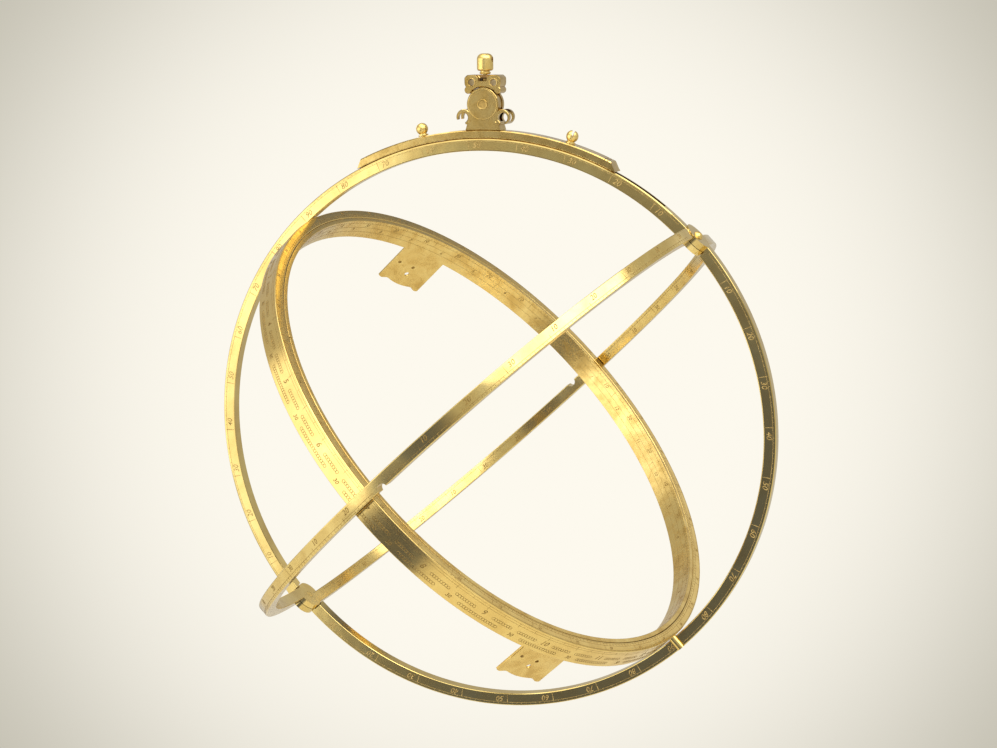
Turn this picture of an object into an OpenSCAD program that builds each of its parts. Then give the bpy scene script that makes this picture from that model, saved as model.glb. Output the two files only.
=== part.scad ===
// Astronomer's ring dial in gilt brass. A meridian ring hangs from a shoe that slides round its edge,
// an equator ring folds into it on two hinges, and an hour ring turns on the polar axis inside both.
// A sight ring with two pinhole vanes turns in a groove inside the hour ring.
// The origin is the middle of the cord hole in the knob, with +Z up and the meridian in the XZ plane.

/* [Setting] */
// Latitude that the dial is set to at rest, in degrees
latitude = 47; // [35:1:85]
// Turn of the hour ring about the polar axis, in degrees
hour_turn = -6.7; // [-60:0.1:60]
// Place of the upper sight vane round the hour ring from the north pole, in degrees
vane_turn = 39.9; // [0:0.1:180]

/* [Meridian and equator rings] */
// Outer diameter of the two rings
ring_d = 200; // [170:1:240]
// Radial width of the two rings
ring_wall = 4.3; // [3.8:0.1:5.5]
// Thickness of each half ring
ring_t = 4.15; // [3.8:0.05:5]
// Gap between the rings when they are folded side by side
fold_gap = 0.3; // [0.2:0.05:0.5]
// Chamfer on the long edges of the rings
ring_chamfer = 0.3; // [0.1:0.05:0.5]

/* [Hinges] */
// Radius of the round hinge ends
hinge_disc_r = 5; // [4.6:0.1:6]
// Height of the outer hinge end above the ring
hinge_proud = 0.25; // [0.1:0.05:0.5]
// Gap between the two layers of a hinge
hinge_gap = 0.2; // [0.1:0.05:0.4]
// Room round a hinge end
lap_gap = 0.3; // [0.2:0.05:0.6]
// Radius of a hinge pin
hinge_pin_r = 1.2; // [0.9:0.05:1.6]
// Radius of the domed head on a hinge pin
hinge_head_r = 1.7; // [1.5:0.05:2.4]
// Height of the domed head on a hinge pin
hinge_head_h = 1.2; // [0.6:0.1:1.5]

/* [Polar pins] */
// Radius of a polar pin
pole_pin_r = 1.4; // [1:0.05:1.7]
// Room round a polar pin in the half-round notches of the equator ring
notch_room = 0.4; // [0.3:0.05:1]

/* [Hour ring and sight ring] */
// Gap between the hour ring and the rings round it
hour_gap = 0.6; // [0.4:0.05:1]
// Radial width of the hour ring
hour_wall = 3.5; // [3:0.1:5]
// Width of the hour ring and of the sight ring along their axis
hour_w = 8.7; // [7:0.1:10]
// Radial gap between the hour ring and the sight ring
sight_gap = 0.1; // [0.05:0.01:0.2]
// Radial width of the sight ring
sight_wall = 1.5; // [1.2:0.1:2.5]
// Height of the guide rib round the sight ring
rib_h = 0.8; // [0.5:0.05:1]
// Width of the guide rib
rib_w = 2; // [1.5:0.1:3]
// Room on each side of the guide rib and above it
rib_room = 0.15; // [0.08:0.01:0.3]
// Width of the slit that lets the sight ring spring into its groove
slit_w = 0.4; // [0.2:0.1:0.8]

/* [Sight vanes] */
// Width of a sight vane
vane_w = 19; // [15:0.5:24]
// Length of a sight vane behind the ring
vane_l = 16.5; // [14:0.1:20]
// Thickness of a sight vane
vane_t = 0.8; // [0.6:0.05:1]
// Depth of the two hollows beside the rounded end of a sight vane
vane_scallop = 0.8; // [0.4:0.1:1.2]
// Distance from the middle of a vane to each hollow
vane_scallop_at = 6.1; // [5:0.1:6.5]
// Radius of the pinhole
pinhole_r = 0.9; // [0.5:0.05:1.2]
// Distance of the pinhole behind the ring
pinhole_at = 10.8; // [9:0.1:12]
// Thickness of the lug that carries a vane
lug_t = 0.6; // [0.5:0.05:0.8]
// Length of the lug that carries a vane
lug_l = 9.2; // [8.5:0.1:9.4]
// Width of the lug that carries a vane
lug_w = 18.6; // [14.8:0.1:18.8]
// Radius of a vane rivet
rivet_r = 0.6; // [0.4:0.05:0.8]
// Distance of the rivets behind the ring
rivet_at = 7; // [5:0.1:7.4]
// Distance from the middle rivet to the side rivet
rivet_pitch = 6.6; // [4:0.1:6.6]

/* [Slider] */
// Lowest latitude that the slider reaches, in degrees
lowest = 31; // [30:1:34]
// Highest latitude that the slider reaches, in degrees
highest = 90; // [86:1:90]
// Angle from the middle of the shoe to each end, in degrees
shoe_half = 27.3; // [22:0.1:28]
// Height of the shoe
shoe_h = 2.4; // [2:0.1:3.5]
// Depth of the shoe and bracket from front to back
shoe_w = 6.35; // [6:0.05:8]
// Gap between the shoe and the edge of the meridian ring
shoe_gap = 0.3; // [0.2:0.05:0.5]
// Slant of the shoe's ends from upright, in degrees
shoe_slant = 50; // [20:1:55]
// Chamfer along the top of the shoe
shoe_chamfer = 0.35; // [0.2:0.05:0.9]
// Lip along the bottom of the shoe at the back
shoe_lip = 0.55; // [0.2:0.05:0.9]
// Angle of the left clamp screw from the middle of the shoe, in degrees
left_screw_at = 12.4; // [11:0.1:18]
// Angle of the right clamp screw from the middle of the shoe, in degrees
right_screw_at = 17; // [11:0.1:18]
// Radius of a clamp screw's shank
screw_r = 0.9; // [0.6:0.05:1]
// Radius of a clamp screw's ball head
ball_r = 2.05; // [1.6:0.05:2.2]
// Radius of the neck under a ball head
ball_neck_r = 1.25; // [1:0.05:1.4]
// Radius of the flange under a ball head
flange_r = 1.7; // [1.45:0.05:1.8]
// Thickness of the flange under a ball head
flange_t = 0.45; // [0.3:0.05:0.6]
// Height of the ball's centre above the shoe
ball_rise = 2.6; // [2.5:0.05:3]
// Width of the slot in a ball head at its mouth
driver_slot_w = 1.05; // [0.6:0.05:1.2]
// Width of the slot in a ball head at its floor
driver_slot_floor = 0.35; // [0.2:0.05:0.5]
// Depth of the slot in a ball head
driver_slot_d = 2.1; // [1:0.1:2.4]
// Turn of the left screw's slot from the line of the shoe, in degrees
left_slot_turn = 28; // [0:1:180]
// Turn of the right screw's slot from the line of the shoe, in degrees
right_slot_turn = 107; // [0:1:180]
// Length of a slide key
key_l = 10; // [6:0.5:12]
// Depth of the dovetail groove round the edge of the meridian ring
groove_d = 1.5; // [1.2:0.05:1.7]
// Width of the dovetail groove at its mouth
groove_mouth = 2.1; // [2.05:0.05:2.2]
// Width of the dovetail groove at its bottom
groove_floor = 2.8; // [2.5:0.05:2.9]
// Room round a slide key in its groove
key_room = 0.12; // [0.08:0.01:0.2]

/* [Suspension] */
// Height of the tilt pin above the shoe
bracket_rise = 8.5; // [8.2:0.1:10]
// Radius of the bracket's round cheeks
cheek_r = 5.6; // [5.3:0.1:6]
// Width of the slot between the cheeks
cheek_slot = 2.9; // [2.2:0.1:3.4]
// Radius of the tilt pin
tilt_pin_r = 1.45; // [1:0.05:1.8]
// Radius of the tenon that holds the bracket in the shoe
tenon_r = 1.6; // [1.2:0.05:2]
// Half width of the bracket below its cheeks
waist_half = 4.5; // [4:0.1:4.9]
// Half width of the bracket's foot at its top
foot_half = 5.4; // [4.6:0.1:6]
// Spread of the bracket's foot at each side where it stands on the shoe
foot_flare = 0.9; // [0:0.1:1.2]
// Radius of the scrolls beside the bracket's foot
claw_r = 2.6; // [2.2:0.05:2.8]
// Distance of a scroll's centre outside the foot and above the floor of the slot
claw_out = 1.4; // [1.2:0.05:1.6]
// Thickness of the scrolls
claw_t = 0.9; // [0.6:0.05:1.2]
// Angle that the tip of the left scroll curls below its centre, in degrees
left_curl = 22; // [10:1:75]
// Angle that the tip of the right scroll curls below its centre, in degrees
right_curl = 68; // [10:1:75]
// Gap between the shackle and the bracket's cheeks
rule_gap = 0.3; // [0.2:0.05:0.5]
// Half the distance between the shackle's eyes
eye_half = 3.9; // [3.7:0.1:4.2]
// Height of the shackle's eyes above the tilt pin
eye_rise = 7.3; // [7.1:0.1:8]
// Radius of the hole in each eye
eye_hole_r = 1.1; // [0.7:0.05:1.4]
// Thickness of the metal round each eye
eye_wall = 1.4; // [1.2:0.05:1.5]
// Chamfer of the upper corners of the block round each eye
eye_cut = 0.95; // [0.5:0.05:1.2]
// Height of the web between the eyes above their middle
web_rise = 0.45; // [0:0.05:0.5]
// Radius of the cusps below the eyes
cusp_r = 1.25; // [1:0.05:1.4]
// Half the distance between the cusps
cusp_half = 5.15; // [4.8:0.05:5.4]
// Height of the cusps above the tilt pin
cusp_rise = 4.8; // [4.7:0.05:5.2]
// Thickness of the strap that joins the tops of the eyes
plate_t = 1.1; // [0.9:0.1:1.6]
// Depth of the strap that joins the tops of the eyes
plate_w = 3.4; // [3:0.1:4]
// Radius of the knob
knob_r = 2.75; // [2.4:0.05:3.4]
// Height of the knob's barrel
knob_h = 5.75; // [5:0.05:7]
// Rounding of the knob's lower edge
knob_round = 0.7; // [0.3:0.1:1]
// Rounding of the knob's domed top
knob_dome = 1.9; // [1:0.1:2.2]
// Radius of the collar under the knob
neck_r = 1.9; // [1.5:0.05:2.2]
// Height of the collar under the knob
neck_h = 1.2; // [0.8:0.1:1.8]
// Radius of the knob's stem
stem_r = 0.75; // [0.5:0.05:0.8]
// Radius of the collar riveted on the stem
swivel_collar_r = 1.2; // [1.1:0.05:1.25]
// Thickness of the collar riveted on the stem
swivel_collar_t = 0.7; // [0.5:0.05:0.8]
// Distance of the cord hole's axis below the top of the knob
cord_hole_drop = 2; // [1.8:0.05:2.4]
// Radius of the cord hole
cord_hole_r = 0.9; // [0.6:0.05:1.2]

/* [Clearances] */
// Radial clearance of a turning fit
run_clear = 0.05; // [0.02:0.01:0.08]
// Clearance between pieces that are fixed together
seat_clear = 0.02; // [0.01:0.005:0.04]
// Gap beside a collar or a tongue that turns
side_clear = 0.15; // [0.1:0.05:0.3]

/* [Hidden] */

$fn = 96;
// Overrun of a cut past the face it goes through
over = 1;

// Rings
ring_r = ring_d / 2;
ring_inner = ring_r - ring_wall;
half_gap = fold_gap / 2;
ring_front = half_gap + ring_t;

// Hinges: the meridian has the outer layer and the equator the inner one
hinge_middle = ring_r - ring_wall / 2;
outer_layer = hinge_middle + hinge_gap / 2;
inner_layer = hinge_middle - hinge_gap / 2;
hinge_face = ring_r + hinge_proud;
lap = ring_front + lap_gap;
lap_r = hinge_disc_r + lap_gap;

// Hour ring and sight ring
hour_r = ring_inner - hour_gap;
hour_inner = hour_r - hour_wall;
sight_r = hour_inner - sight_gap;
sight_inner = sight_r - sight_wall;
rib_r = sight_r + rib_h;
rib_groove_r = rib_r + rib_room;
pole_pin_end = rib_groove_r + rib_room;

// Sight vanes: flat plates on flat lugs behind the sight ring
vane_back = -hour_w / 2;
vane_outer = sight_r - lug_t;
vane_inner = vane_outer - vane_t;

// Slider
groove_y = -(half_gap + ring_front) / 2;
groove_r = ring_r - groove_d;
// The north pole pin stops short of the slide groove
north_pin_end = groove_r - side_clear;
shoe_r = ring_r + shoe_gap;
shoe_top = shoe_r + shoe_h;
shoe_front = -ring_front;
shoe_back = shoe_front + shoe_w;
key_half_deg = asin(key_l / 2 / ring_r);
// The groove ends in a pocket that lets the keys in
groove_from = lowest - right_screw_at - 2 * key_half_deg;
groove_to = highest + left_screw_at + 2 * key_half_deg;
pocket_to = groove_to + 2.5 * key_half_deg;

// Suspension, from the tilt pin up
hang_y = (shoe_front + shoe_back) / 2;
pin_z = shoe_top + bracket_rise;
tongue_t = cheek_slot - 2 * side_clear;
tongue_r = cheek_r - rule_gap;
rule_r = cheek_r + rule_gap;
eye_r = eye_hole_r + eye_wall;
plate_top = eye_rise + eye_r;
plate_bottom = plate_top - plate_t;
neck_bottom = plate_top + side_clear;
knob_bottom = neck_bottom + neck_h;
knob_top = knob_bottom + knob_h;
hole_z = knob_top - cord_hole_drop;
hang_z = pin_z + hole_z;
collar_top = plate_bottom - side_clear;
collar_bottom = collar_top - swivel_collar_t;
// Window between the eyes for the collar on the stem
collar_half = swivel_collar_r + side_clear;
window_floor = eye_rise - eye_hole_r / 2;
slot_floor = -(tongue_r + rule_gap);
foot_top = slot_floor - side_clear;
claw_x = foot_half + claw_out;
claw_z = slot_floor + claw_out;

gilt = [0.80, 0.62, 0.24];
pale_gilt = [0.87, 0.72, 0.36];
dark_gilt = [0.62, 0.49, 0.20];

// Moves the model from the ring centre to its hanging point
module place() {
  translate([0, -hang_y, -hang_z]) children();
}

// Turns the dial frame, with X along the hinges and Z to the north pole, to the latitude
module dial() {
  place() rotate([0, latitude - 90, 0]) children();
}

// Turns children drawn on the hour ring, with X along its axis and Z to the north pole
module hour_frame() {
  dial() rotate([0, 0, hour_turn]) children();
}

// Places children drawn at the top of the meridian's edge at an angle left of the shoe's middle
module on_edge(angle) {
  rotate([0, -angle, 0]) children();
}

// Sweeps a section, with X outwards and Y to the front, round the meridian's edge each side of the top
module edge_sweep(half) {
  rotate([90, 0, 0]) rotate([0, 0, 90 - half]) rotate_extrude(angle = 2 * half, $fn = 360) children();
}

// Places children drawn in the XZ plane round the tilt pin, and gives them a depth
module bracket_slab(depth) {
  translate([0, hang_y, pin_z]) rotate([90, 0, 0]) linear_extrude(height = depth, center = true) children();
}

// Rectangle with its four corners cut off
module chamfered_box(low, high, cut) {
  polygon([[low[0] + cut, low[1]], [high[0] - cut, low[1]], [high[0], low[1] + cut],
    [high[0], high[1] - cut], [high[0] - cut, high[1]], [low[0] + cut, high[1]],
    [low[0], high[1] - cut], [low[0], low[1] + cut]]);
}

// Cylinder along X from one place to another
module x_rod(from, to, radius) {
  translate([from, 0, 0]) rotate([0, 90, 0]) cylinder(h = to - from, r = radius);
}

// Cap of a sphere with its flat side at the origin
module dome(radius, height) {
  ball = (radius * radius + height * height) / (2 * height);
  intersection() {
    translate([0, 0, height - ball]) sphere(r = ball);
    cylinder(h = 2 * height, r = 2 * radius);
  }
}

// Half of a jogged ring, over Y and above the plane where its two halves meet
module half_ring() {
  rotate_extrude(angle = 180, $fn = 360)
    chamfered_box([ring_inner, half_gap], [ring_r, ring_front], ring_chamfer);
}

// One layer of the lap at a hinge on +X: a round end and two square corners
module hinge_room(from, to) {
  x_rod(from, to, lap_r);
  translate([from, -lap, 0]) cube([to - from, lap, lap]);
  translate([from, 0, -lap]) cube([to - from, lap, lap]);
}

// Meridian ring: front half over the north pole, back half over the south pole
module meridian_ring() {
  color(gilt) dial() difference() {
    union() {
      rotate([90, 0, 0]) half_ring();
      rotate([-90, 0, 0]) half_ring();
      for (side = [0, 1]) mirror([side, 0, 0]) x_rod(outer_layer, hinge_face, hinge_disc_r);
    }
    for (side = [0, 1]) mirror([side, 0, 0]) {
      hinge_room(ring_inner - over, outer_layer);
      x_rod(outer_layer - over, hinge_face + over, hinge_pin_r + seat_clear);
    }
    translate([0, 0, ring_inner - over])
      cylinder(h = north_pin_end - ring_inner + over + seat_clear, r = pole_pin_r + seat_clear);
    translate([0, 0, -ring_r - over])
      cylinder(h = ring_wall + 2 * over, r = pole_pin_r + seat_clear);
    slide_groove();
  }
}

// Dovetail groove round the edge of the meridian, with the pocket at its end
module slide_groove() {
  rotate([90, 0, 0]) translate([0, 0, -groove_y]) {
    rotate([0, 0, groove_from]) rotate_extrude(angle = groove_to - groove_from, $fn = 360)
      polygon([[groove_r, -groove_floor / 2], [ring_r, -groove_mouth / 2], [ring_r + over, -groove_mouth / 2],
        [ring_r + over, groove_mouth / 2], [ring_r, groove_mouth / 2], [groove_r, groove_floor / 2]]);
    rotate([0, 0, groove_to]) rotate_extrude(angle = pocket_to - groove_to, $fn = 360)
      translate([groove_r, -groove_floor / 2]) square([groove_d + over, groove_floor]);
  }
}

// Equator ring: near half above the hinge axis, far half below it
module equator_ring() {
  color(pale_gilt) dial() difference() {
    union() {
      for (half = [0, 180]) rotate([half, 0, 0]) rotate([0, 0, 180]) half_ring();
      for (side = [0, 1]) mirror([side, 0, 0]) x_rod(ring_inner, inner_layer, hinge_disc_r);
    }
    for (side = [0, 1]) mirror([side, 0, 0]) {
      hinge_room(inner_layer, ring_r + over);
      x_rod(ring_inner - over, inner_layer + over, hinge_pin_r + run_clear);
    }
    for (half = [0, 180]) rotate([half, 0, 0])
      translate([0, over - ring_inner, 0]) rotate([90, 0, 0])
        cylinder(h = ring_wall + 2 * over, r = pole_pin_r + notch_room);
  }
}

// Hinge pin along +X, flush inside and domed outside
module hinge_pin() {
  x_rod(ring_inner, hinge_face, hinge_pin_r);
  translate([hinge_face, 0, 0]) rotate([0, 90, 0]) dome(hinge_head_r, hinge_head_h);
}

module upper_hinge_pin() {
  color(pale_gilt) dial() hinge_pin();
}

module lower_hinge_pin() {
  color(pale_gilt) dial() mirror([1, 0, 0]) hinge_pin();
}

// Polar pins, half sunk in the meridian, each ending in a hole of the hour ring
module north_pole_pin() {
  color(dark_gilt) dial() translate([0, 0, pole_pin_end])
    cylinder(h = north_pin_end - pole_pin_end, r = pole_pin_r);
}

module south_pole_pin() {
  color(dark_gilt) dial() translate([0, 0, -ring_r])
    cylinder(h = ring_r - pole_pin_end, r = pole_pin_r);
}

// Hour ring with a guide groove inside and a hole at each pole
module hour_ring() {
  color(gilt) hour_frame() difference() {
    rotate([0, 90, 0]) rotate_extrude($fn = 360) difference() {
      chamfered_box([hour_inner, -hour_w / 2], [hour_r, hour_w / 2], ring_chamfer);
      translate([hour_inner - over, -rib_w / 2 - rib_room])
        square([rib_groove_r - hour_inner + over, rib_w + 2 * rib_room]);
    }
    for (side = [0, 1]) mirror([0, 0, side])
      translate([0, 0, rib_groove_r - over])
        cylinder(h = hour_r - rib_groove_r + 2 * over, r = pole_pin_r + run_clear);
  }
}

// Sight ring with its guide rib, slit and two lugs
module sight_ring() {
  color(pale_gilt) hour_frame() rotate([-vane_turn, 0, 0]) difference() {
    union() {
      rotate([0, 90, 0]) rotate_extrude($fn = 360) union() {
        chamfered_box([sight_inner, -hour_w / 2], [sight_r, hour_w / 2], ring_chamfer / 2);
        translate([sight_r - sight_wall / 2, -rib_w / 2]) square([rib_r - sight_r + sight_wall / 2, rib_w]);
      }
      intersection() {
        rotate([0, 90, 0]) cylinder(h = 2 * (hour_w + lug_l), r = sight_r, center = true, $fn = 360);
        for (side = [0, 180]) rotate([side, 0, 0])
          translate([vane_back - lug_l, -lug_w / 2, vane_outer])
            cube([lug_l + hour_w / 4, lug_w, sight_wall]);
      }
    }
    for (side = [-1, 1]) rotate([90 + 90 * side, 0, 0]) rivet_places(side)
      cylinder(h = 2 * sight_wall, r = rivet_r + seat_clear, center = true);
    rotate([90, 0, 0]) translate([-hour_w, -slit_w / 2, sight_inner - over])
      cube([2 * hour_w, slit_w, rib_r - sight_inner + 2 * over]);
  }
}

// Places children at the two rivets of a vane, with the side rivet on one side
module rivet_places(side) {
  for (across = [0, side * rivet_pitch])
    translate([vane_back - rivet_at, across, vane_outer]) children();
}

// Outline of a sight vane, with X across it and Y away from the ring
module vane_outline() {
  half = vane_w / 2;
  root = vane_l - vane_scallop;
  toe = (half - vane_scallop_at) / 4;
  flat = vane_scallop_at - toe;
  bulge = (flat * flat + vane_scallop * vane_scallop) / (2 * vane_scallop);
  feet = [[vane_scallop_at, root], [half - 2 * toe, vane_l], [half - toe, vane_l], [half, root + toe / 2]];
  polygon(concat([[-half, 0], [half, 0]], [for (i = [3:-1:0]) feet[i]],
    [for (i = [0:3]) [-feet[i][0], feet[i][1]]]));
  intersection() {
    translate([0, vane_l - bulge]) circle(r = bulge, $fn = 360);
    translate([-half, root - over]) square([vane_w, 2 * vane_scallop + over]);
  }
}

// Sight vane at the top of its ring, with its pinhole and rivet holes
module sight_vane(side) {
  difference() {
    translate([vane_back - seat_clear, 0, vane_inner]) rotate([0, 0, 90])
      linear_extrude(height = vane_t - seat_clear) vane_outline();
    translate([vane_back - pinhole_at, 0, vane_inner - over]) cylinder(h = vane_t + 2 * over, r = pinhole_r);
    rivet_places(side) cylinder(h = 2 * vane_t + 2 * over, r = rivet_r + seat_clear, center = true);
  }
}

// Rivets of a vane, flush with the inside of the vane and the outside of the lug
module vane_rivets(side) {
  edge = sight_r - sqrt(sight_r * sight_r - rivet_pitch * rivet_pitch);
  rivet_places(side) translate([0, 0, -vane_t]) cylinder(h = vane_t + lug_t - edge, r = rivet_r);
}

module upper_sight_vane() {
  color(gilt) hour_frame() rotate([-vane_turn, 0, 0]) sight_vane(-1);
}

module lower_sight_vane() {
  color(gilt) hour_frame() rotate([180 - vane_turn, 0, 0]) sight_vane(1);
}

module upper_vane_rivets() {
  color(dark_gilt) hour_frame() rotate([-vane_turn, 0, 0]) vane_rivets(-1);
}

module lower_vane_rivets() {
  color(dark_gilt) hour_frame() rotate([180 - vane_turn, 0, 0]) vane_rivets(1);
}

// Shoe that slides round the meridian, with slanting ends
module slider_shoe() {
  end_box = 4 * shoe_h;
  spare_end = 2;
  color(gilt) place() difference() {
    edge_sweep(shoe_half + spare_end) shoe_section();
    for (side = [0, 1]) mirror([side, 0, 0]) on_edge(shoe_half)
      translate([0, 0, shoe_r]) rotate([0, shoe_slant, 0])
        translate([-end_box, shoe_front - over, -end_box / 2])
          cube([end_box, shoe_w + shoe_lip + 2 * over, 2 * end_box]);
    for (angle = [left_screw_at, -right_screw_at]) on_edge(angle)
      translate([0, groove_y, shoe_r - over]) cylinder(h = shoe_h + 2 * over, r = screw_r + run_clear);
    translate([0, hang_y, shoe_r - over]) cylinder(h = shoe_h + 2 * over, r = tenon_r + seat_clear);
  }
}

// Section of the shoe
module shoe_section() {
  polygon([[shoe_r, -shoe_front], [shoe_top - shoe_chamfer, -shoe_front],
    [shoe_top, -shoe_front - shoe_chamfer], [shoe_top, -shoe_back + shoe_chamfer],
    [shoe_top - shoe_chamfer, -shoe_back],
    [shoe_r + shoe_lip, -shoe_back], [shoe_r, -shoe_back - shoe_lip]]);
}

// Clamp screw with a ball head, split by a slot that narrows downwards
module clamp_screw(angle, slot_turn) {
  mouth = driver_slot_w / 2;
  bottom = driver_slot_floor / 2;
  place() on_edge(angle) translate([0, groove_y, shoe_top]) difference() {
    union() {
      translate([0, 0, groove_r + key_room - shoe_top])
        cylinder(h = shoe_top + flange_t - groove_r, r = screw_r);
      translate([0, 0, side_clear]) cylinder(h = flange_t, r = flange_r);
      translate([0, 0, side_clear]) cylinder(h = ball_rise - side_clear, r = ball_neck_r);
      translate([0, 0, ball_rise]) sphere(r = ball_r);
    }
    translate([0, 0, ball_rise + ball_r]) rotate([90, 0, 90 + slot_turn])
      linear_extrude(height = 2 * (ball_r + over), center = true)
        polygon([[-bottom, -driver_slot_d], [bottom, -driver_slot_d], [mouth, 0], [mouth, over],
          [-mouth, over], [-mouth, 0]]);
  }
}

module left_clamp_screw() {
  color(pale_gilt) clamp_screw(left_screw_at, left_slot_turn);
}

module right_clamp_screw() {
  color(pale_gilt) clamp_screw(-right_screw_at, right_slot_turn);
}

// Dovetail key in the groove, drawn up by its clamp screw
module slide_key(angle) {
  floor_half = groove_floor / 2 - key_room;
  mouth_half = groove_mouth / 2 - key_room;
  place() on_edge(angle) difference() {
    edge_sweep(key_half_deg) translate([0, -groove_y])
      polygon([[groove_r + key_room, -floor_half], [ring_r, -mouth_half], [ring_r, mouth_half],
        [groove_r + key_room, floor_half]]);
    translate([0, groove_y, groove_r - over]) cylinder(h = groove_d + 2 * over, r = screw_r + run_clear);
  }
}

module left_slide_key() {
  color(dark_gilt) slide_key(left_screw_at);
}

module right_slide_key() {
  color(dark_gilt) slide_key(-right_screw_at);
}

// Bracket with two round cheeks, a foot and scrolls, tenoned into the shoe
module suspension_bracket() {
  foot_end = foot_half + foot_flare;
  foot_reach = bracket_rise + foot_end * foot_end / shoe_top;
  color(gilt) place() difference() {
    union() {
      bracket_slab(shoe_w) bracket_outline(foot_end, foot_reach);
      translate([0, hang_y, shoe_r]) cylinder(h = shoe_h + bracket_rise + slot_floor, r = tenon_r);
    }
    difference() {
      rotate([90, 0, 0]) cylinder(h = 4 * shoe_w, r = shoe_top + seat_clear, center = true, $fn = 360);
      translate([0, hang_y, shoe_r]) cylinder(h = shoe_h + over, r = tenon_r);
    }
    bracket_slab(cheek_slot) translate([-2 * foot_half, slot_floor]) square([4 * foot_half, 4 * cheek_r]);
    bracket_slab(2 * shoe_w) circle(r = tilt_pin_r + seat_clear);
  }
}

// Outline of the bracket round the tilt pin
module bracket_outline(foot_end, foot_reach) {
  circle(r = cheek_r);
  polygon([[-foot_end, -foot_reach], [foot_end, -foot_reach], [foot_half, foot_top], [-foot_half, foot_top]]);
  translate([-waist_half, foot_top - over]) square([2 * waist_half, over - foot_top - cheek_r / 2]);
  scroll(right_curl);
  mirror([1, 0]) scroll(left_curl);
}

// Scroll on the right of the bracket's foot, open below from the angle of its tip
module scroll(curl) {
  translate([claw_x, claw_z]) difference() {
    circle(r = claw_r);
    translate([claw_t / 4, -claw_t / 4]) circle(r = claw_r - claw_t);
    polygon([[0, 0], 2 * claw_r * [cos(curl), -sin(curl)], [0, -4 * claw_r], [-claw_r * 0.5, -2 * claw_r]]);
  }
}

// Pin through the cheeks and the shackle's tongue, standing a little proud
module tilt_pin() {
  color(pale_gilt) place() bracket_slab(shoe_w + 2 * side_clear) circle(r = tilt_pin_r);
}

// Shackle: a head with two scrolled eyes over the cheeks, and a tongue between them
module shackle() {
  color(gilt) place() difference() {
    union() {
      bracket_slab(shoe_w) difference() {
        shackle_outline();
        circle(r = rule_r);
      }
      bracket_slab(plate_w) translate([-eye_half, plate_bottom]) square([2 * eye_half, plate_t]);
      bracket_slab(tongue_t) union() {
        circle(r = tongue_r);
        translate([-eye_half / 2, 0]) square([eye_half, window_floor]);
      }
    }
    bracket_slab(2 * shoe_w) {
      circle(r = tilt_pin_r + run_clear);
      for (side = [-1, 1]) translate([side * eye_half, eye_rise]) circle(r = eye_hole_r);
    }
    bracket_slab(plate_w) translate([-collar_half, window_floor])
      square([2 * collar_half, plate_bottom - window_floor]);
    translate([0, hang_y, pin_z + plate_bottom - over])
      cylinder(h = plate_t + 2 * over, r = stem_r + run_clear);
  }
}

// Outline of the shackle's head round the tilt pin
module shackle_outline() {
  translate([-eye_half, eye_rise - eye_r]) square([2 * eye_half, eye_r + web_rise]);
  for (side = [0, 1]) mirror([side, 0]) {
    translate([eye_half, eye_rise]) {
      circle(r = eye_r);
      polygon([[-eye_r, 0], [eye_r, 0], [eye_r, eye_r - eye_cut], [eye_r - eye_cut, eye_r],
        [eye_cut - eye_r, eye_r], [-eye_r, eye_r - eye_cut]]);
    }
    translate([cusp_half, cusp_rise]) circle(r = cusp_r);
  }
}

// Knob that the cord goes through, with its neck and stem
module swivel_knob() {
  color(pale_gilt) place() translate([0, hang_y, pin_z]) difference() {
    union() {
      translate([0, 0, knob_bottom]) rotate_extrude() knob_section();
      translate([0, 0, neck_bottom]) cylinder(h = neck_h + knob_round, r = neck_r);
      translate([0, 0, collar_bottom]) cylinder(h = neck_bottom - collar_bottom, r = stem_r);
    }
    translate([0, 0, hole_z]) x_rod(-2 * knob_r, 2 * knob_r, cord_hole_r);
  }
}

// Half section of the knob's barrel, with a domed top and a rounded lower edge
module knob_section() {
  square([knob_r - knob_dome, knob_h]);
  square([knob_r - knob_round, knob_h - knob_dome]);
  translate([0, knob_round]) square([knob_r, knob_h - knob_dome - knob_round]);
  translate([knob_r - knob_dome, knob_h - knob_dome]) intersection() {
    circle(r = knob_dome);
    square(knob_dome);
  }
  translate([knob_r - knob_round, knob_round]) intersection() {
    circle(r = knob_round);
    translate([0, -knob_round]) square(knob_round);
  }
}

// Collar that holds the knob's stem under the shackle's strap
module swivel_collar() {
  color(dark_gilt) place() translate([0, hang_y, pin_z + collar_bottom]) difference() {
    cylinder(h = swivel_collar_t, r = swivel_collar_r);
    translate([0, 0, -over]) cylinder(h = swivel_collar_t + 2 * over, r = stem_r + seat_clear);
  }
}

swivel_knob();
swivel_collar();
shackle();
tilt_pin();
suspension_bracket();
slider_shoe();
left_clamp_screw();
right_clamp_screw();
left_slide_key();
right_slide_key();
meridian_ring();
upper_hinge_pin();
lower_hinge_pin();
north_pole_pin();
south_pole_pin();
equator_ring();
hour_ring();
sight_ring();
upper_sight_vane();
lower_sight_vane();
upper_vane_rivets();
lower_vane_rivets();
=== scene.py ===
import contextlib
import math

import bpy
from mathutils import Matrix, Vector


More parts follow.
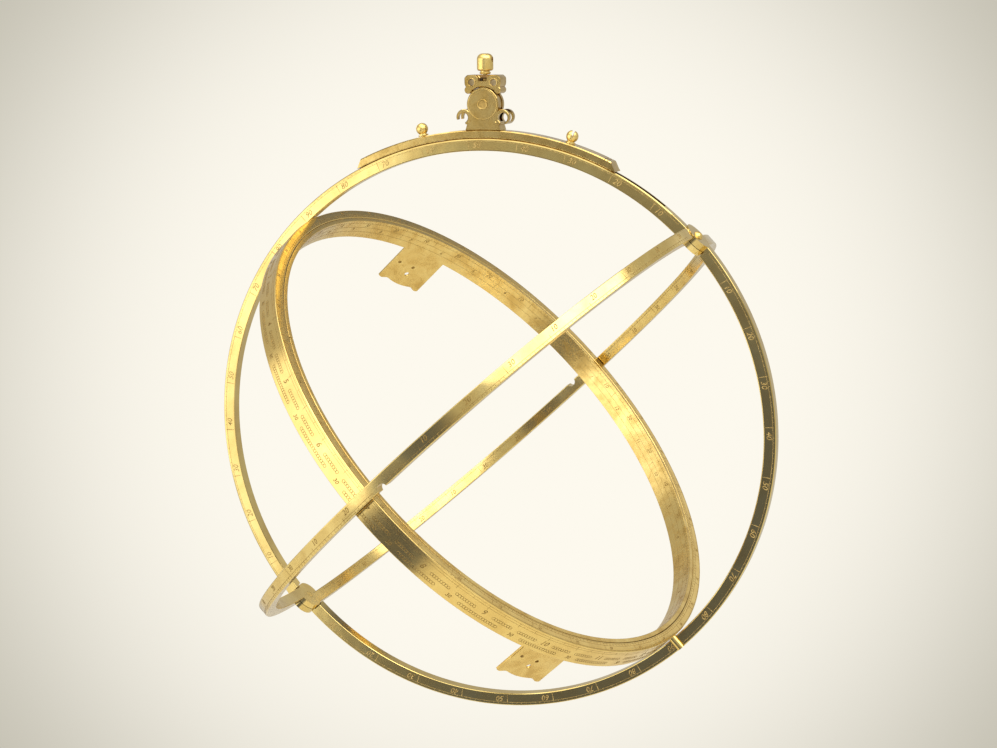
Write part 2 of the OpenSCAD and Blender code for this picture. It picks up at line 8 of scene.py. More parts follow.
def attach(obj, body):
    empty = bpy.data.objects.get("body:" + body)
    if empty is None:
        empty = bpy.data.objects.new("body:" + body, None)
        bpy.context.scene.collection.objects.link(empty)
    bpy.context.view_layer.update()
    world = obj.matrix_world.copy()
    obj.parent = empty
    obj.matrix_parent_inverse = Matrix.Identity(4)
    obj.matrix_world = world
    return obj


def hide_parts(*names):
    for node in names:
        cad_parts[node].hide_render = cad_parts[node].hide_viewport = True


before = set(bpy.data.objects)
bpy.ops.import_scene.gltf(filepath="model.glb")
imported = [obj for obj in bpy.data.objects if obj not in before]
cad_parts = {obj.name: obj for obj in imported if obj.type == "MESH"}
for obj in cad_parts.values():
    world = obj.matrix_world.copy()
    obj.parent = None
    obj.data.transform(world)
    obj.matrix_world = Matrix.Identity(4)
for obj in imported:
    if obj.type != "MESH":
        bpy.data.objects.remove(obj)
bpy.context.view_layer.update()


def rotation(degrees, axis):
    """Matrix that turns a piece about an axis."""
    return Matrix.Rotation(math.radians(degrees), 4, axis)


# Frames of the dial
# Pieces are modelled in millimetres in the frame of their own ring, and these matrices set them in place
# in metres. The dial frame has X along the hinges and Z to the north pole, tipped to the latitude.
MM = Matrix.Scale(0.001, 4)
TO_MM = Matrix.Scale(1000, 4)
RING_CENTRE = Vector((0.0, 0.001125, -0.1261))
LATITUDE = 47.0
HOUR_RING_TURN = -6.7
SIGHT_RING_TURN = -39.9
DIAL = Matrix.Translation(RING_CENTRE) @ rotation(LATITUDE - 90, "Y") @ MM
HOUR = DIAL @ rotation(HOUR_RING_TURN, "Z")
SIGHT = HOUR @ rotation(SIGHT_RING_TURN, "X")
# A ring that is spun about Z is laid with its axis along X by this turn
AXIS_TO_X = rotation(90, "Y")
# A half ring that is spun about Z over +Y stands up over the north pole or hangs over the south pole
OVER_NORTH = rotation(90, "X")
OVER_SOUTH = rotation(-90, "X")
UP = Vector((0, 0, 1))

# Sizes in millimetres, as in the solids
# Meridian and equator: each half lies between the gap and the front, on its own side of the hinges
RING_R = 100.0
RING_INNER = 95.7
RING_FRONT = 4.3
HALF_GAP = 0.15
RING_ROUNDING = 0.3
# Hinges: the faces of the inner and outer round ends, their radius, and the room that is cut for them
HINGE_INNER = 97.75
HINGE_OUTER = 97.95
HINGE_FACE = 100.25
HINGE_DISC_R = 5.0
LAP = 4.6
LAP_R = 5.3
MERIDIAN_PIN_BORE = 1.22
EQUATOR_PIN_BORE = 1.25
# Bores for the polar pins, and the notches that clear them when the equator folds
MERIDIAN_POLE_BORE = 1.42
MERIDIAN_POLE_BORE_END = 98.37
HOUR_POLE_BORE = 1.45
EQUATOR_NOTCH = 1.8
# Dovetail groove of the slide keys, in the meridian's edge
SLIDE_FLOOR = 98.5
SLIDE_HALF = 1.4
SLIDE_MOUTH_SHARE = 0.6
SLIDE_MIDDLE = -2.225
SLIDE_START = 8.3
SLIDE_ARC = 107.0
# Facets on the front edge of the meridian, as (width from the edge, slope), and their arc
EDGE_FACETS = ((0.7, 0.27), (0.37, 1.2))
FACET_START = 6
FACET_ARC = 168
# Hour ring, and the groove inside it that guides the sight ring
HOUR_R = 95.1
HOUR_INNER = 91.6
HOUR_HALF = 4.35
GUIDE_FLOOR = 92.45
GUIDE_HALF = 1.15
# Sight ring, its rib and slit, and the lugs that the vanes are riveted to
SIGHT_R = 91.5
SIGHT_INNER = 90.0
SIGHT_ROUNDING = 0.15
RIB_ROOT = 90.75
RIB_R = 92.3
RIB_HALF = 1.0
SLIT_HALF = 0.2
LUG_REACH = 9.2
LUG_OVERLAP = 2.2
LUG_HALF = 9.3
LUG_FLOOR = 90.9
RIVET_BORE = 0.62
RIVET_REACH = 7
RIVET_SIDE = 6.6
# Distance that a cutter runs on past the metal
PAST = 1.0
# Points nearer than this are one point
TOGETHER = 0.0005
# Edges sharper than this, in degrees, are eased by the file
SHARP = 40
# With no window, spin turns clockwise about its axis, so the axis points down
SPIN_AXIS = (0, 0, -1)


# Materials

def linear(code):
    """Linear colour of an sRGB hex code."""
    values = [int(code[i:i + 2], 16) / 255 for i in (1, 3, 5)]
    return [v / 12.92 if v <= 0.04045 else ((v + 0.055) / 1.055) ** 2.4 for v in values] + [1.0]


def node(tree, kind, settings=None, inputs=None, links=None):
    """Adds a node with its settings, input values, and links from (node, output) pairs."""
    made = tree.nodes.new(kind)
    for name, value in (settings or {}).items():
        setattr(made, name, value)
    for name, value in (inputs or {}).items():
        made.inputs[name].default_value = value
    for name, (source, output) in (links or {}).items():
        tree.links.new(source.outputs[output], made.inputs[name])
    return made


def colour_stops(ramp, stops):
    """Sets the stops of a colour ramp from (place, hex code) pairs."""
    elements = ramp.color_ramp.elements
    while len(elements) < len(stops):
        elements.new(0.5)
    for element, (place, code) in zip(elements, stops):
        element.position = place
        element.color = linear(code)


def per_mm(count):
    """Scale of a pattern that has so many marks in a millimetre."""
    return count * 1000


def gilt_brass(name, stops, rough, frame_turn=None, stroke=(3.0, 3.0, 3.0), stroke_depth=0.15, patch_mm=4.0,
               specks=0.45, metallic=1.0):
    """Worn fire-gilt brass: a warm yellow metal with browner patches where the gilding is thin.

    frame_turn lays the tool marks out in the frame of a ring, and stroke gives their scale on three axes,
    as marks in a millimetre. patch_mm is the size of a patch, and specks says how strongly tarnish shows.
    """
    material = bpy.data.materials.new(name)
    material.use_nodes = True
    tree = material.node_tree
    shader = tree.nodes["Principled BSDF"]
    shader.inputs["Metallic"].default_value = metallic
    spots = (node(tree, "ShaderNodeTexCoord"), "Object")
    turned = spots
    if frame_turn is not None:
        turn = node(tree, "ShaderNodeMapping", {"vector_type": "TEXTURE"},
                    {"Location": frame_turn.to_translation(), "Rotation": frame_turn.to_euler()},
                    {"Vector": spots})
        turned = (turn, "Vector")
    # Patches of thin gilding
    patch = node(tree, "ShaderNodeTexNoise", None,
                 {"Scale": 1000 / patch_mm, "Detail": 5.0, "Roughness": 0.62, "Distortion": 0.4},
                 {"Vector": spots})
    tone = node(tree, "ShaderNodeValToRGB", None, None, {"Fac": (patch, "Fac")})
    colour_stops(tone, stops)
    # Tarnish specks, a little over one in a millimetre
    grain = node(tree, "ShaderNodeTexNoise", None, {"Scale": per_mm(1.3), "Detail": 3.0, "Roughness": 0.6},
                 {"Vector": spots})
    dots = node(tree, "ShaderNodeMapRange", None,
                {"From Min": 0.74 - specks * 0.2, "From Max": 0.8, "To Min": 0.0, "To Max": specks},
                {"Value": (grain, "Fac")})
    speckled = node(tree, "ShaderNodeMix", {"data_type": "RGBA"}, {"B": linear("#5A4420")},
                    {"Factor": (dots, "Result"), "A": (tone, "Color")})
    tree.links.new(speckled.outputs["Result"], shader.inputs["Base Color"])
    # The patches are duller than the gilding round them
    dull = node(tree, "ShaderNodeMapRange", None,
                {"From Min": 0.3, "From Max": 0.72, "To Min": rough[1], "To Max": rough[0]},
                {"Value": (patch, "Fac")})
    spread = node(tree, "ShaderNodeMath", {"operation": "MULTIPLY_ADD"}, {1: 0.1},
                  {0: (dots, "Result"), 2: (dull, "Result")})
    tree.links.new(spread.outputs["Value"], shader.inputs["Roughness"])
    # Hand-finished faces are never quite flat: swells of about 6 mm, and strokes of the file or the lathe
    swell = node(tree, "ShaderNodeTexNoise", None, {"Scale": per_mm(0.16), "Detail": 1.0},
                 {"Vector": spots})
    swell_bump = node(tree, "ShaderNodeBump", None, {"Strength": 0.04, "Distance": 0.0006},
                      {"Height": (swell, "Fac")})
    scaled = node(tree, "ShaderNodeMapping", None, {"Scale": Vector(stroke) * 1000}, {"Vector": turned})
    marks = node(tree, "ShaderNodeTexNoise", None, {"Scale": 1.0, "Detail": 3.0, "Roughness": 0.65},
                 {"Vector": (scaled, "Vector")})
    marks_bump = node(tree, "ShaderNodeBump", None, {"Strength": stroke_depth, "Distance": 0.0001},
                      {"Height": (marks, "Fac"), "Normal": (swell_bump, "Normal")})
    tree.links.new(marks_bump.outputs["Normal"], shader.inputs["Normal"])
    return material


def graver_line(name, stops):
    """Cut of the graver: raw brass with old dirt in it, rough and brown, darker than a face that shines."""
    material = bpy.data.materials.new(name)
    material.use_nodes = True
    tree = material.node_tree
    shader = tree.nodes["Principled BSDF"]
    shader.inputs["Metallic"].default_value = 0.8
    place = node(tree, "ShaderNodeTexCoord")
    # Spots of dirt about a millimetre long
    dirt = node(tree, "ShaderNodeTexNoise", None, {"Scale": per_mm(0.9), "Detail": 3.0},
                {"Vector": (place, "Object")})
    tone = node(tree, "ShaderNodeValToRGB", None, None, {"Fac": (dirt, "Fac")})
    colour_stops(tone, stops)
    tree.links.new(tone.outputs["Color"], shader.inputs["Base Color"])
    dull = node(tree, "ShaderNodeMapRange", None, {"To Min": 0.5, "To Max": 0.8}, {"Value": (dirt, "Fac")})
    tree.links.new(dull.outputs["Result"], shader.inputs["Roughness"])
    return material


# Colours from the thinnest gilding to the thickest
MERIDIAN_STOPS = [(0.3, "#CAAE6A"), (0.5, "#D8BF78"), (0.7, "#E1CC86")]
EQUATOR_STOPS = [(0.3, "#D4B770"), (0.5, "#E4C97F"), (0.7, "#EDD68E")]
HOUR_STOPS = [(0.3, "#DCBE73"), (0.5, "#E6C87C"), (0.7, "#ECD286")]
SIGHT_STOPS = [(0.32, "#CCAB62"), (0.5, "#E0C278"), (0.7, "#E9D088")]
FILED_STOPS = [(0.3, "#AC8E4C"), (0.5, "#C6A966"), (0.7, "#D6BD7A")]
TURNED_STOPS = [(0.3, "#D0B062"), (0.5, "#E6C97A"), (0.7, "#F0D88E")]
WIRE_STOPS = [(0.3, "#A0834A"), (0.5, "#C2A25E"), (0.7, "#D2B570")]
# The hollow's darker stops are brown dirt and painted shade together
HOLLOW_DIRT_AND_SHADE_STOPS = [(0.3, "#7A5C30"), (0.5, "#977440"), (0.7, "#B08E54")]
RIVET_STOPS = [(0.3, "#7A5E30"), (0.5, "#94763E"), (0.7, "#AC8E50")]
# Rings: gilt brass turned on the lathe and burnished, with patches and faint marks across the faces
meridian_gilt = gilt_brass("gilt_meridian_brass", MERIDIAN_STOPS, rough=(0.08, 0.14), frame_turn=DIAL,
                           stroke=(0.5, 0.5, 0.5), stroke_depth=0.015, patch_mm=11, specks=0.15)
equator_gilt = gilt_brass("gilt_equator_brass", EQUATOR_STOPS, rough=(0.12, 0.2), frame_turn=DIAL,
                          stroke=(0.25, 0.25, 2.2), stroke_depth=0.05, patch_mm=9, specks=0.25)
hour_gilt = gilt_brass("gilt_hour_brass", HOUR_STOPS, rough=(0.14, 0.22), frame_turn=HOUR,
                       stroke=(2.2, 0.3, 0.3), stroke_depth=0.07, patch_mm=9, specks=0.3)
sight_gilt = gilt_brass("gilt_sight_brass", SIGHT_STOPS, rough=(0.18, 0.32), frame_turn=SIGHT,
                        stroke=(2.2, 0.3, 0.3), stroke_depth=0.12, patch_mm=6, specks=0.5)
# Fittings: cast brass that was filed to shape, gilt and burnished, with file marks and browner hollows
filed_gilt = gilt_brass("filed_gilt_brass", FILED_STOPS, rough=(0.1, 0.2), frame_turn=DIAL,
                        stroke=(1.2, 3.0, 0.6), stroke_depth=0.06)
# Knob, screws and hinge pins: turned and polished, then dulled by fingers
turned_gilt = gilt_brass("turned_gilt_brass", TURNED_STOPS, rough=(0.3, 0.4), stroke=(0.4, 0.4, 4.0),
                         stroke_depth=0.08, specks=0.35)
# Polar pins: turned and polished bright
polished_gilt = gilt_brass("polished_gilt_brass", TURNED_STOPS, rough=(0.08, 0.16), stroke=(0.4, 0.4, 4.0),
                           stroke_depth=0.05, specks=0.3)
# Pins and keys: ungilt brass wire, browner and duller
pin_brass = gilt_brass("drawn_brass_pin", WIRE_STOPS, rough=(0.25, 0.42))
# Hollow of the shackle: brass that the file and the burnisher never reached, under brown dirt, and painted
# darker as shade in the recess
hollow_dirt_and_painted_shade = gilt_brass("brass_hollow_dirt_and_painted_shade", HOLLOW_DIRT_AND_SHADE_STOPS, rough=(0.4, 0.55), patch_mm=2, specks=0.5,
                          metallic=0.4)
# Rivets: brass that has gone brown, so that each shows as a dark dot
rivet_brown = gilt_brass("browned_brass_rivet", RIVET_STOPS, rough=(0.45, 0.6), patch_mm=2, specks=0.5)
# Graver cuts: most hold old dirt, and those of the meridian are cleaner and painted lighter, a painted
# highlight for the light their walls would catch
engraved = graver_line("engraved_brass", [(0.35, "#775D2E"), (0.65, "#AE9254")])
clean_cut_painted_highlight = graver_line("bright_cut_brass", [(0.35, "#A1854C"), (0.65, "#D6BC7C")])


# Modelling

def deselect():
    """Leaves edit mode and deselects everything."""
    if bpy.context.object and bpy.context.object.mode != "OBJECT":
        bpy.ops.object.mode_set(mode="OBJECT")
    bpy.ops.object.select_all(action="DESELECT")


def pick(piece):
    """Selects one piece alone."""
    deselect()
    piece.select_set(True)
    bpy.context.view_layer.objects.active = piece


@contextlib.contextmanager
def editing(piece):
    """Edit mode on one piece alone."""
    pick(piece)
    bpy.ops.object.mode_set(mode="EDIT")
    yield
    bpy.ops.object.mode_set(mode="OBJECT")


def select_by(piece, test):
    """Selects the points of a piece that a test picks, with the edges and faces between them."""
    for vertex in piece.data.vertices:
        vertex.select = test(vertex.co)
    for part in list(piece.data.edges) + list(piece.data.polygons):
        part.select = all(piece.data.vertices[v].select for v in part.vertices)


def narrow(piece, test, scale, centre):
    """Scales the points of a piece that a test picks, about a centre."""
    select_by(piece, test)
    with editing(piece):
        bpy.ops.transform.resize(value=scale, center_override=centre)


def round_over(piece, test, width, segments):
    """Rounds the edges of a piece between the points that a test picks."""
    select_by(piece, test)
    with editing(piece):
        bpy.ops.mesh.bevel(offset=width, segments=segments, affect="EDGES")


def apply_place(piece, matrix=Matrix.Identity(4)):
    """Moves a piece by a matrix and puts its place in its mesh."""
    pick(piece)
    piece.matrix_world = matrix @ piece.matrix_world
    bpy.ops.object.transform_apply(location=True, rotation=True, scale=True)


def apply_modifier(piece, kind, **settings):
    """Adds a modifier with its settings and applies it."""
    pick(piece)
    made = piece.modifiers.new("work", kind)
    for name, value in settings.items():
        setattr(made, name, value)
    bpy.ops.object.modifier_apply(modifier=made.name)


def mend(piece):
    """Merges points that lie together in a piece, and closes any hole in its skin."""
    with editing(piece):
        bpy.ops.mesh.select_all(action="SELECT")
        bpy.ops.mesh.remove_doubles(threshold=TOGETHER)
        bpy.ops.mesh.select_all(action="DESELECT")
        bpy.ops.mesh.select_non_manifold(use_wire=False, use_multi_face=False, use_non_contiguous=False,
                                         use_verts=False)
        bpy.ops.mesh.fill_holes(sides=0)


def face_outwards(piece):
    """Turns the faces of a piece outwards."""
    with editing(piece):
        bpy.ops.mesh.select_all(action="SELECT")
        bpy.ops.mesh.normals_make_consistent(inside=False)


def weld(piece, *others, operation="UNION"):
    """Joins other solids to a piece, or works on it with them by another operation."""
    for other in others:
        apply_modifier(piece, "BOOLEAN", operation=operation, solver="EXACT", object=other)
        bpy.data.objects.remove(other)
        mend(piece)


def cut(piece, *cutters):
    """Cuts other solids out of a piece."""
    weld(piece, *cutters, operation="DIFFERENCE")


def joined(pieces):
    """Puts several pieces in one mesh."""
    pick(pieces[0])
    for other in pieces[1:]:
        other.select_set(True)
    bpy.ops.object.join()
    return bpy.context.object


def block(low, high):
    """Box between two corners."""
    deselect()
    middle = [(a + b) / 2 for a, b in zip(low, high)]
    bpy.ops.mesh.primitive_cube_add(size=1, location=middle)
    piece = bpy.context.object
    piece.scale = [b - a for a, b in zip(low, high)]
    apply_place(piece)
    return piece


def rod(start, end, radius, axis="X", sides=96):
    """Round rod along an axis of the frame."""
    deselect()
    turn = {"X": (0, math.radians(90), 0), "Y": (math.radians(-90), 0, 0), "Z": (0, 0, 0)}[axis]
    middle = [(start + end) / 2 if name == axis else 0 for name in "XYZ"]
    bpy.ops.mesh.primitive_cylinder_add(vertices=sides, radius=radius, depth=end - start, location=middle,
                                        rotation=turn)
    piece = bpy.context.object
    apply_place(piece)
    return piece


def spun(inner, outer, low, high, rounding=0.0, angle=360.0, start=0.0, steps=360):
    """Rectangular section with rounded corners, spun about Z: a whole ring, or an arc with closed ends."""
    deselect()
    bpy.ops.mesh.primitive_plane_add(size=1, location=((inner + outer) / 2, 0, (low + high) / 2),
                                     rotation=(math.radians(90), 0, 0))
    piece = bpy.context.object
    piece.scale = (outer - inner, high - low, 1)
    apply_place(piece, rotation(start, "Z"))
    with editing(piece):
        bpy.ops.mesh.select_all(action="SELECT")
        if rounding:
            bpy.ops.mesh.bevel(offset=rounding, segments=3, affect="VERTICES")
        bpy.ops.mesh.select_all(action="SELECT")
        bpy.ops.mesh.delete(type="ONLY_FACE")
        bpy.ops.mesh.select_all(action="SELECT")
        bpy.ops.mesh.spin(steps=steps, angle=math.radians(angle), center=(0, 0, 0), axis=SPIN_AXIS)
        bpy.ops.mesh.select_all(action="SELECT")
        bpy.ops.mesh.remove_doubles(threshold=TOGETHER)
        if angle < 360:
            bpy.ops.mesh.select_all(action="DESELECT")
            bpy.ops.mesh.select_non_manifold()
            bpy.ops.mesh.fill_holes(sides=0)
    face_outwards(piece)
    return piece


def dress(piece, name, body, material):
    """Names a piece, gives it its material and sets it on its body."""
    piece.name = name
    piece.data.name = name
    piece.data.materials.clear()
    piece.data.materials.append(material)
    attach(piece, body)


def finish(piece, name, body, material, replaced=(), angle=35.0):
    """Smooths a piece across edges up to an angle, dresses it, and hides the solids that it stands for."""
    pick(piece)
    bpy.ops.object.shade_smooth_by_angle(angle=math.radians(angle))
    apply_modifier(piece, "WEIGHTED_NORMAL", keep_sharp=True, weight=60)
    dress(piece, name, body, material)
    if replaced:
        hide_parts(*replaced)


# Rings

def hinge_room(start, end):
    """Room for the other ring's round end at a hinge on +X: a round hole and two square corners."""
    room = rod(start, end, LAP_R)
    weld(room, block((start, -LAP, 0), (end, 0, LAP)), block((start, 0, -LAP), (end, LAP, 0)))
    return room


def at_both_hinges(make):
    """Makes a solid at the hinge on +X, and its mirror image at the hinge on -X."""
    made = [make(), make()]
    apply_place(made[1], Matrix.Scale(-1, 4, (1, 0, 0)))
    face_outwards(made[1])
    return made


def half_ring(turn):
    """Half of a jogged ring, turned into place in the dial frame."""
    half = spun(RING_INNER, RING_R, HALF_GAP, RING_FRONT, RING_ROUNDING, angle=180, steps=180)
    apply_place(half, turn)
    return half


def edge_facet(width, slope):
    """Cutter for a sloping facet on the meridian's front half, from a width inside its outer front edge."""
    cutter = spun(RING_R - width, RING_R + PAST, RING_FRONT, RING_FRONT + PAST, angle=FACET_ARC,
                  start=FACET_START, steps=FACET_ARC)
    select_by(cutter, lambda co: math.hypot(co.x, co.y) > RING_R and co.z < RING_FRONT + PAST / 2)
    with editing(cutter):
        bpy.ops.transform.translate(value=(0, 0, -slope * (width + PAST)))
    apply_place(cutter, OVER_NORTH)
    return cutter


def slide_groove():
    """Cutter for the dovetail groove of the slide keys, narrower at its mouth."""
    groove = spun(SLIDE_FLOOR, RING_R + PAST, -SLIDE_HALF, SLIDE_HALF, angle=SLIDE_ARC, start=SLIDE_START,
                  steps=round(SLIDE_ARC))
    narrow(groove, lambda co: math.hypot(co.x, co.y) > RING_R, (1, 1, SLIDE_MOUTH_SHARE), (0, 0, 0))
    apply_place(groove, Matrix.Translation((0, SLIDE_MIDDLE, 0)) @ OVER_NORTH)
    return groove


def meridian_ring():
    """Front half over the north pole, back half over the south pole, hinge ends and the slide groove."""
    ring = half_ring(OVER_NORTH)
    cut(ring, *[edge_facet(width, slope) for width, slope in EDGE_FACETS])
    weld(ring, half_ring(OVER_SOUTH), *at_both_hinges(lambda: rod(HINGE_OUTER, HINGE_FACE, HINGE_DISC_R)))
    cut(ring, *at_both_hinges(lambda: hinge_room(RING_INNER - PAST, HINGE_OUTER)))
    cut(ring, *at_both_hinges(lambda: rod(HINGE_OUTER - PAST, HINGE_FACE + PAST, MERIDIAN_PIN_BORE)))
    cut(ring, rod(RING_INNER - PAST, MERIDIAN_POLE_BORE_END, MERIDIAN_POLE_BORE, "Z"),
        rod(-RING_R - PAST, -RING_INNER + PAST, MERIDIAN_POLE_BORE, "Z"))
    cut(ring, slide_groove())
    apply_place(ring, DIAL)
    # The facets meet the face at 15 degrees and stay crisp
    finish(ring, "meridian_ring_worked", "meridian", meridian_gilt, ["meridian_ring"],
           angle=12)


def equator_ring():
    """Near half above the hinge line, far half below it, inner hinge ends and a notch for each pole."""
    ring = half_ring(rotation(180, "Z"))
    far = half_ring(rotation(180, "X") @ rotation(180, "Z"))
    weld(ring, far, *at_both_hinges(lambda: rod(RING_INNER, HINGE_INNER, HINGE_DISC_R)))
    cut(ring, *at_both_hinges(lambda: hinge_room(HINGE_INNER, RING_R + PAST)))
    cut(ring, *at_both_hinges(lambda: rod(RING_INNER - PAST, HINGE_INNER + PAST, EQUATOR_PIN_BORE)))
    cut(ring, rod(-RING_R - PAST, -RING_INNER + PAST, EQUATOR_NOTCH, "Y"),
        rod(RING_INNER - PAST, RING_R + PAST, EQUATOR_NOTCH, "Y"))
    apply_place(ring, DIAL)
    finish(ring, "equator_ring_worked", "equator", equator_gilt, ["equator_ring"])


def hour_ring():
    """Wide ring with a guide groove inside and a hole at each pole."""
    ring = spun(HOUR_INNER, HOUR_R, -HOUR_HALF, HOUR_HALF, RING_ROUNDING)
    cut(ring, spun(HOUR_INNER - PAST, GUIDE_FLOOR, -GUIDE_HALF, GUIDE_HALF))
    apply_place(ring, AXIS_TO_X)
    cut(ring, rod(HOUR_INNER - PAST, HOUR_R + PAST, HOUR_POLE_BORE, "Z"),
        rod(-HOUR_R - PAST, -HOUR_INNER + PAST, HOUR_POLE_BORE, "Z"))
    apply_place(ring, HOUR)
    finish(ring, "hour_ring_worked", "hours", hour_gilt, ["hour_ring"])


def vane_lug(side, across):
    """Lug behind the sight ring, with two rivet holes, at one side of the ring."""
    lug = block((-HOUR_HALF - LUG_REACH, -LUG_HALF, LUG_FLOOR), (-HOUR_HALF + LUG_OVERLAP, LUG_HALF, RIB_R))
    weld(lug, rod(-SIGHT_R, SIGHT_R, SIGHT_R, sides=360), operation="INTERSECT")
    for rivet in (0, across):
        hole = rod(SIGHT_INNER - PAST, SIGHT_R + PAST, RIVET_BORE, "Z", 32)
        apply_place(hole, Matrix.Translation((-HOUR_HALF - RIVET_REACH, rivet, 0)))
        cut(lug, hole)
    apply_place(lug, rotation(side, "X"))
    return lug


def sight_ring():
    """Thin ring with a guide rib, a slit that lets it spring, and two lugs that carry the vanes."""
    ring = spun(SIGHT_INNER, SIGHT_R, -HOUR_HALF, HOUR_HALF, SIGHT_ROUNDING)
    weld(ring, spun(RIB_ROOT, RIB_R, -RIB_HALF, RIB_HALF))
    apply_place(ring, AXIS_TO_X)
    weld(ring, vane_lug(0, -RIVET_SIDE), vane_lug(180, RIVET_SIDE))
    cut(ring, block((-HOUR_HALF - PAST, -RIB_R - PAST, -SLIT_HALF),
                    (HOUR_HALF + PAST, -SIGHT_INNER + PAST, SLIT_HALF)))
    apply_place(ring, SIGHT)
    finish(ring, "sight_ring_worked", "sights", sight_gilt, ["sight_ring"])


meridian_ring()
equator_ring()
hour_ring()
sight_ring()


# Suspension
# These pieces are in millimetres from the middle of the hole in the knob, which is the frame's origin
RING_FRAME = Matrix.Translation(RING_CENTRE * 1000)
TILT_PIN = Vector((0, 0, -14.9))
EYE_HALF = 3.9
EYE_DROP = 7.6
CHEEK_FACE = 3.175
# Rims on the faces, as (inner radius, outer radius, proud), how deep they go in, and how round they are
EYE_RIM = (1.1, 1.5, 0.16)
CHEEK_RIM = (4.9, 5.2, 0.08)
PIN_RIM = (1.3, 1.8, 0.25)
RIM_SUNK = 0.2
RIM_ROUNDING_SHARE = 0.7
# Edges nearer the middle than this lie inside the outer faces of the shackle and the bracket
INSIDE_FACES = 3.1
# Half width of the shackle's strap with its edges, and how far down it reaches
STRAP_HALF = 2.3
STRAP_DROP = 7.3
# Hollow under the strap, browned by dirt and darkened with painted shade
HOLLOW_HALF_WIDTH = 2.2
HOLLOW_HALF_DEPTH = 1.75
HOLLOW_DROP = 8.3
# Clamp screws, in degrees right of the middle of the shoe, and their holes
CLAMP_ANGLES = (-12.4, 17)
CLAMP_BORE = 1.2
# Radii of the floors of the shoe's fine grooves and steps, and of the tops of their cutters
GROOVE_FLOOR = 102.5
GROOVE_TOP = 103.5
STEP_FLOOR = 102.1
STEP_TOP = 104
SHOE_STEP_ANGLES = (24.5, 25.1)
STEP_HALF = 0.25
STEP_BACK = 4
STEP_FRONT = -6
# Front and back edges of the grooves, and the shares of their widths that grooves and steps have at the floor
SHOE_GROOVES = ((3.05, 3.4), (-1.15, -0.8))
GROOVE_FLOOR_SHARE = 0.4
STEP_FLOOR_SHARE = 0.3
# Leaf under the shoe
LEAF_INNER = 100.03
LEAF_OUTER = 100.28
LEAF_BACK = -1.8
LEAF_ROUNDING = 0.08
LEAF_START = 63.5
LEAF_ARC = 53
# Knob, with heights from the middle of its hole
KNOB_TOP = 2.0
KNOB_FOOT = -3.75
KNOB_R = 2.75
KNOB_DOME = 1.9
KNOB_ROUND = 0.7
KNOB_HOLE = 0.9
NECK_TOP = -3.6
NECK_FOOT = -4.95
NECK_R = 1.6
BEAD_R = 1.9
BEAD_INNER = 1.3
BEAD_TOP = -4.15
BEAD_FOOT = -4.75
BEAD_ROUND = 0.25
STEM_R = 0.75
STEM_TOP = -4.9
STEM_FOOT = -7.05
STEM_RIVET_R = 1.15
STEM_RIVET_TOP = -7.04
STEM_RIVET_FOOT = -8.0
STEM_RIVET_DOME = 0.6
# Widths of the eased corners, and of the flat chamfers of the bracket and the shackle
EASED = 0.1
BRACKET_CHAMFER = 0.15
SHACKLE_CHAMFER = 0.22


def chamfer(piece, width, spared):
    """Cuts a flat chamfer on the sharp edges of a piece, except those that a test of their middles spares."""
    with editing(piece):
        bpy.ops.mesh.select_mode(type="EDGE")
        bpy.ops.mesh.select_all(action="DESELECT")
        bpy.ops.mesh.edges_select_sharp(sharpness=math.radians(SHARP))
    for edge in piece.data.edges:
        ends = [piece.data.vertices[v].co for v in edge.vertices]
        edge.select = edge.select and not spared((ends[0] + ends[1]) / 2)
    with editing(piece):
        bpy.ops.mesh.bevel(offset=width, segments=1, affect="EDGES", clamp_overlap=False)
        bpy.ops.mesh.select_mode(type="VERT")


def softened(name, body, material, slot, width, *cutters, spared=None):
    """Copy of a solid with grooves cut in it and its corners eased by a file, as wear leaves them.

    With a test of the edges to spare, the others get a flat chamfer. Without one, all are rounded.
    """
    deselect()
    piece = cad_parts[name].copy()
    piece.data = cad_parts[name].data.copy()
    piece.parent = None
    bpy.context.scene.collection.objects.link(piece)
    for key in list(piece.keys()):
        del piece[key]
    apply_place(piece, TO_MM)
    with editing(piece):
        bpy.ops.mesh.select_all(action="SELECT")
        bpy.ops.mesh.customdata_custom_splitnormals_clear()
        bpy.ops.mesh.remove_doubles(threshold=TOGETHER)
        bpy.ops.mesh.dissolve_limited(angle_limit=math.radians(0.5))
    cut(piece, *cutters)
    if spared:
        chamfer(piece, width, spared)
    else:
        apply_modifier(piece, "BEVEL", width=width, segments=2, limit_method="ANGLE",
                       angle_limit=math.radians(SHARP))
    mend(piece)
    apply_place(piece, MM)
    finish(piece, name + "_worked", body, material, [name])


def shoe_groove(low, high):
    """Cutter for a fine groove along the top of the shoe, narrower at its floor."""
    groove = spun(GROOVE_FLOOR, GROOVE_TOP, low, high)
    middle = (GROOVE_FLOOR + GROOVE_TOP) / 2
    narrow(groove, lambda co: math.hypot(co.x, co.y) < middle, (1, 1, GROOVE_FLOOR_SHARE),
           (0, 0, (low + high) / 2))
    apply_place(groove, RING_FRAME @ OVER_NORTH)
    return groove


def shoe_step(angle):
    """Cutter for a step across the top of the shoe at one end, at an angle right of its middle."""
    step = block((-STEP_HALF, STEP_FRONT, STEP_FLOOR), (STEP_HALF, STEP_BACK, STEP_TOP))
    middle = (STEP_FLOOR + STEP_TOP) / 2
    narrow(step, lambda co: co.z < middle, (STEP_FLOOR_SHARE, 1, 1), (0, 0, STEP_FLOOR))
    apply_place(step, RING_FRAME @ rotation(angle, "Y"))
    return step


def slider_shoe():
    """Shoe with a fine groove along each side of its top and two steps at each end."""
    steps = [shoe_step(side * angle) for side in (-1, 1) for angle in SHOE_STEP_ANGLES]
    grooves = [shoe_groove(low, high) for low, high in SHOE_GROOVES]
    softened("slider_shoe", "hanger", filed_gilt, "fitting_brass", EASED, *grooves, *steps)


